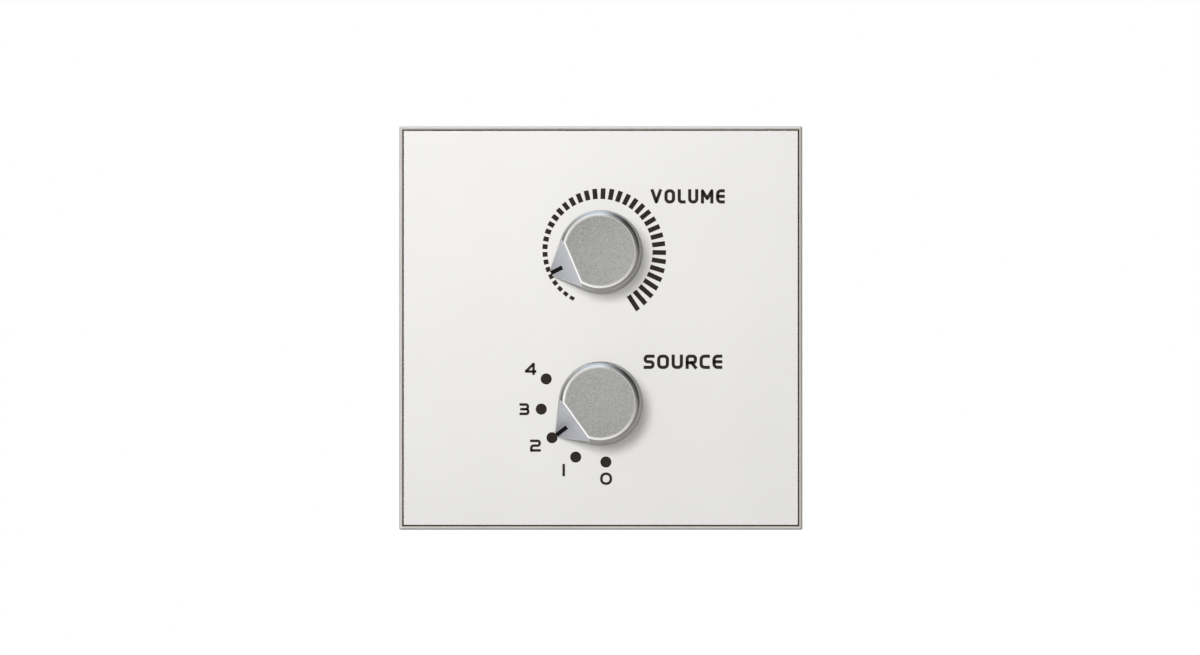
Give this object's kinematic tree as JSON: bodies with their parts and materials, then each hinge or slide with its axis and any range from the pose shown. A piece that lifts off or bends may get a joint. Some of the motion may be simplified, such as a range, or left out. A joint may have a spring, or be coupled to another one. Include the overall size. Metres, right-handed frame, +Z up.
{
  "type": "wall volume control",
  "caption": "Square wall plate with pointer knobs: a rotary volume control above a stepped selector, on a steel support with a circuit board and a plug-in terminal.",
  "frame": {"origin": "centre of the wall-box screw pattern, on the plane where the plate meets the wall", "axes": "+Y points into the wall, so the front faces -Y; +X is to the right seen from the front; +Z is up"},
  "size_m": [0.08, 0.0537, 0.08],
  "materials": {
    "panel_white": "fine satin moulded",
    "trim_aluminium": "satin anodised",
    "zinc_steel": "zinc plated",
    "nylon_natural": "natural moulded",
    "print_ink": "screen printed",
    "knob_silver": "satin plated",
    "line_black": "moulded",
    "hub_black": "moulded",
    "spring_steel": "bright",
    "shaft_metal": "turned",
    "bushing_metal": "nickel plated",
    "nut_metal": "nickel plated",
    "can_steel": "tin plated",
    "phenolic": "pressed laminate",
    "rotor_plastic": "moulded",
    "carbon": "printed film",
    "contact_metal": "silver plated",
    "board_green": "solder resist",
    "chip_black": "fired glaze",
    "chip_tan": "fired ceramic",
    "can_aluminium": "bright drawn",
    "base_black": "moulded",
    "terminal_green": "moulded",
    "clamp_metal": "zinc plated"
  },
  "bodies": {
    "plate": {"trim_frame": "trim_aluminium", "front_panel": "panel_white", "support_plate": "zinc_steel", "panel_grommets": "nylon_natural", "volume_scale": "print_ink", "selector_scale": "print_ink", "volume_bushing": "bushing_metal", "volume_cover": "can_steel", "volume_washer": "nut_metal", "volume_nut": "nut_metal", "volume_track": "carbon", "volume_wafer": "phenolic", "volume_terminals": "contact_metal", "selector_bushing": "bushing_metal", "selector_cover": "can_steel", "selector_washer": "nut_metal", "selector_nut": "nut_metal", "selector_detent_spring": "spring_steel", "selector_contacts": "contact_metal", "selector_common": "contact_metal", "selector_wafer": "phenolic", "circuit_board": "board_green", "board_standoffs": "nut_metal", "board_screws": "zinc_steel", "chip_resistors": "chip_black", "chip_capacitors": "chip_tan", "filter_capacitor_base": "base_black", "filter_capacitor_can": "can_aluminium", "terminal_header": "terminal_green", "header_pins": "contact_metal"},
    "volume_spindle": {"volume_knob": "knob_silver", "volume_knob_line": "line_black", "volume_knob_hub": "hub_black", "volume_knob_grip": "spring_steel", "volume_shaft": "shaft_metal", "volume_shaft_clip": "spring_steel", "volume_rotor": "rotor_plastic", "volume_wiper": "contact_metal"},
    "selector_spindle": {"selector_knob": "knob_silver", "selector_knob_line": "line_black", "selector_knob_hub": "hub_black", "selector_knob_grip": "spring_steel", "selector_shaft": "shaft_metal", "selector_shaft_clip": "spring_steel", "selector_rotor": "rotor_plastic", "selector_wiper": "contact_metal"},
    "plug": {"terminal_plug": "terminal_green", "plug_contacts": "contact_metal", "plug_clamps": "clamp_metal", "plug_screws": "clamp_metal"}
  },
  "joints": [
    {"name": "volume_turn", "type": "hinge", "parent": "plate", "child": "volume_spindle", "pos_m": [0, 0, 0.015], "axis": [0, 1, 0], "range_deg": [-37, 263]},
    {"name": "selector_turn", "type": "hinge", "parent": "plate", "child": "selector_spindle", "pos_m": [0, 0, -0.015], "axis": [0, 1, 0], "range_deg": [-60, 60], "deforming": ["selector_detent_spring"]},
    {"name": "plug_pull", "type": "slide", "parent": "plate", "child": "plug", "axis": [0, 1, 0], "range_m": [0, 0.012]}
  ]
}
